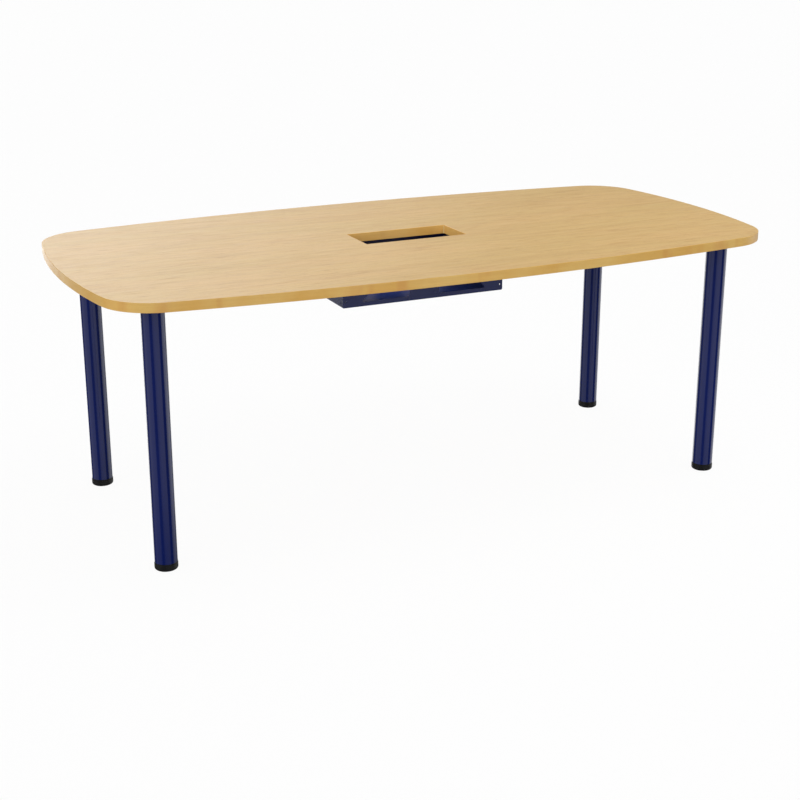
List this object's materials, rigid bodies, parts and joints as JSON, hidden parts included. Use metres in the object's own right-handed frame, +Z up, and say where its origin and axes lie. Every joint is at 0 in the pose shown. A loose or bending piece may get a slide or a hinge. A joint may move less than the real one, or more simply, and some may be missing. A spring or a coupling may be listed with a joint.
{
  "type": "oval meeting table",
  "caption": "Barrel-shaped meeting table with a beech board on round blue steel legs with levelling feet, and a central cable cut-out over a hanging cable tray.",
  "frame": {"origin": "on the floor, under the middle of the table", "axes": "+X along the table, +Y across it from front to rear, +Z up"},
  "size_m": [2, 1, 0.74],
  "materials": {
    "beech_laminate": "satin beech-pattern melamine on particle board, grain along the table",
    "beech_edging": "satin beech-pattern plastic edging",
    "blue_lacquer": "gloss dark blue lacquer on steel",
    "black_plastic": "fine-textured black moulded plastic",
    "zinc_steel": "bright zinc-plated steel",
    "plate_steel": "dark blue lacquer on steel plate"
  },
  "bodies": {
    "table": {"top_board": "beech_laminate", "edge_band": "beech_edging", "cutout_strip_front": "beech_edging", "cutout_strip_back": "beech_edging", "cutout_strip_left": "beech_edging", "cutout_strip_right": "beech_edging", "cable_tray": "blue_lacquer", "tray_screws": "zinc_steel", "plate_screws": "zinc_steel", "leg_lock_screws": "zinc_steel", "foot_nuts": "zinc_steel", "front_left_leg_plate": "plate_steel", "front_left_leg_tube": "blue_lacquer", "front_left_foot_insert": "black_plastic", "front_right_leg_plate": "plate_steel", "front_right_leg_tube": "blue_lacquer", "front_right_foot_insert": "black_plastic", "rear_left_leg_plate": "plate_steel", "rear_left_leg_tube": "blue_lacquer", "rear_left_foot_insert": "black_plastic", "rear_right_leg_plate": "plate_steel", "rear_right_leg_tube": "blue_lacquer", "rear_right_foot_insert": "black_plastic"},
    "front_left_spindle": {"front_left_spindle": "zinc_steel"},
    "front_left_foot": {"front_left_foot": "black_plastic"},
    "front_right_spindle": {"front_right_spindle": "zinc_steel"},
    "front_right_foot": {"front_right_foot": "black_plastic"},
    "rear_left_spindle": {"rear_left_spindle": "zinc_steel"},
    "rear_left_foot": {"rear_left_foot": "black_plastic"},
    "rear_right_spindle": {"rear_right_spindle": "zinc_steel"},
    "rear_right_foot": {"rear_right_foot": "black_plastic"}
  },
  "joints": [
    {"name": "front_left_foot_travel", "type": "slide", "parent": "table", "child": "front_left_spindle", "axis": [0, 0, -1], "range_m": [0, 0.02]},
    {"name": "front_left_foot_turn", "type": "hinge", "parent": "front_left_spindle", "child": "front_left_foot", "pos_m": [-0.845, -0.3275, 0.009], "axis": [0, 0, -1], "range_deg": [0, 4800]},
    {"name": "front_right_foot_travel", "type": "slide", "parent": "table", "child": "front_right_spindle", "axis": [0, 0, -1], "range_m": [0, 0.02]},
    {"name": "front_right_foot_turn", "type": "hinge", "parent": "front_right_spindle", "child": "front_right_foot", "pos_m": [0.845, -0.3275, 0.009], "axis": [0, 0, -1], "range_deg": [0, 4800]},
    {"name": "rear_left_foot_travel", "type": "slide", "parent": "table", "child": "rear_left_spindle", "axis": [0, 0, -1], "range_m": [0, 0.02]},
    {"name": "rear_left_foot_turn", "type": "hinge", "parent": "rear_left_spindle", "child": "rear_left_foot", "pos_m": [-0.845, 0.3275, 0.009], "axis": [0, 0, -1], "range_deg": [0, 4800]},
    {"name": "rear_right_foot_travel", "type": "slide", "parent": "table", "child": "rear_right_spindle", "axis": [0, 0, -1], "range_m": [0, 0.02]},
    {"name": "rear_right_foot_turn", "type": "hinge", "parent": "rear_right_spindle", "child": "rear_right_foot", "pos_m": [0.845, 0.3275, 0.009], "axis": [0, 0, -1], "range_deg": [0, 4800]}
  ],
  "couplings": [
    {"joint": "front_left_foot_travel", "follows": "front_left_foot_turn", "m_per_rad": 0.00023873},
    {"joint": "front_right_foot_travel", "follows": "front_right_foot_turn", "m_per_rad": 0.00023873},
    {"joint": "rear_left_foot_travel", "follows": "rear_left_foot_turn", "m_per_rad": 0.00023873},
    {"joint": "rear_right_foot_travel", "follows": "rear_right_foot_turn", "m_per_rad": 0.00023873}
  ]
}
